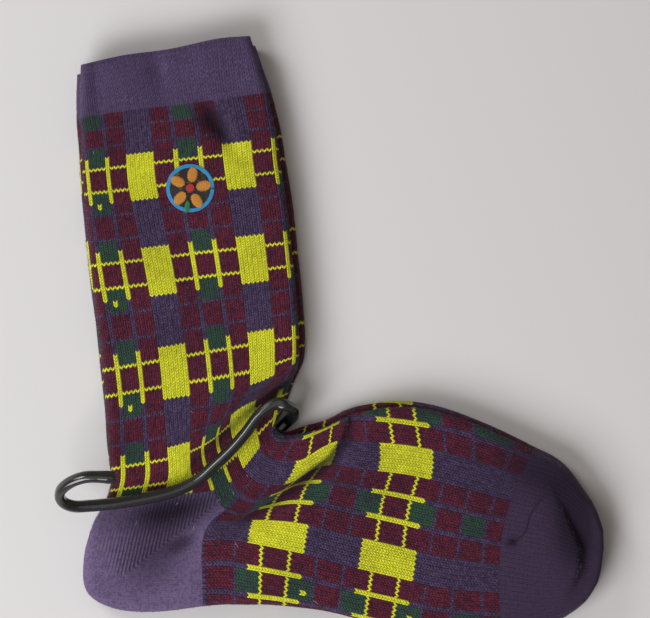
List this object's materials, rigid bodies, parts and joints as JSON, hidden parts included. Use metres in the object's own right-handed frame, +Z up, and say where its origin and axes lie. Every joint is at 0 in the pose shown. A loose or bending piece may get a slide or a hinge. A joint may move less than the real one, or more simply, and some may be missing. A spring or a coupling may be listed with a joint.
{
  "type": "pair of crew socks on a shop hook",
  "caption": "Pair of patterned knitted crew socks lying flat, one on the other, held at the ankle by a one-piece moulded display hook.",
  "frame": {"origin": "on the table under the middle of the bounding box", "axes": "+Z up off the table, +Y towards the cuffs, +X towards the toes"},
  "size_m": [0.2466, 0.268, 0.0397],
  "materials": {
    "cuff_knit": "matte ribbed knit",
    "leg_knit": "matte jacquard knit in four yarns",
    "heel_knit": "matte plain knit",
    "foot_knit": "matte jacquard knit in four yarns",
    "toe_knit": "matte plain knit",
    "seam_thread": "linked yarn",
    "motif_ground": "satin stitch, dark thread",
    "petal_thread": "satin stitch, glossy thread",
    "centre_thread": "satin stitch, glossy thread",
    "leaf_thread": "satin stitch, glossy thread",
    "hook_plastic": "semi-gloss injection-moulded plastic"
  },
  "bodies": {
    "bottom_sock": {"bottom_cuff": "cuff_knit", "bottom_leg": "leg_knit", "bottom_heel": "heel_knit", "bottom_foot": "foot_knit", "bottom_toe": "toe_knit", "bottom_toe_seam": "seam_thread", "bottom_motif_ground": "motif_ground", "bottom_petal_1": "petal_thread", "bottom_petal_2": "petal_thread", "bottom_petal_3": "petal_thread", "bottom_petal_4": "petal_thread", "bottom_petal_5": "petal_thread", "bottom_motif_centre": "centre_thread", "bottom_motif_leaf": "leaf_thread"},
    "top_sock": {"top_cuff": "cuff_knit", "top_leg": "leg_knit", "top_heel": "heel_knit", "top_foot": "foot_knit", "top_toe": "toe_knit", "top_toe_seam": "seam_thread", "top_motif_ground": "motif_ground", "top_petal_1": "petal_thread", "top_petal_2": "petal_thread", "top_petal_3": "petal_thread", "top_petal_4": "petal_thread", "top_petal_5": "petal_thread", "top_motif_centre": "centre_thread", "top_motif_leaf": "leaf_thread"},
    "hook": {"hook": "hook_plastic"}
  },
  "joints": [
    {"name": "top_sock_slip", "type": "slide", "parent": "bottom_sock", "child": "top_sock", "axis": [-0.7071, -0.7071, 0], "range_m": [0, 0.1]},
    {"name": "hook_pull", "type": "slide", "parent": "bottom_sock", "child": "hook", "axis": [0.7071, 0.7071, 0], "range_m": [0, 0.065]}
  ]
}
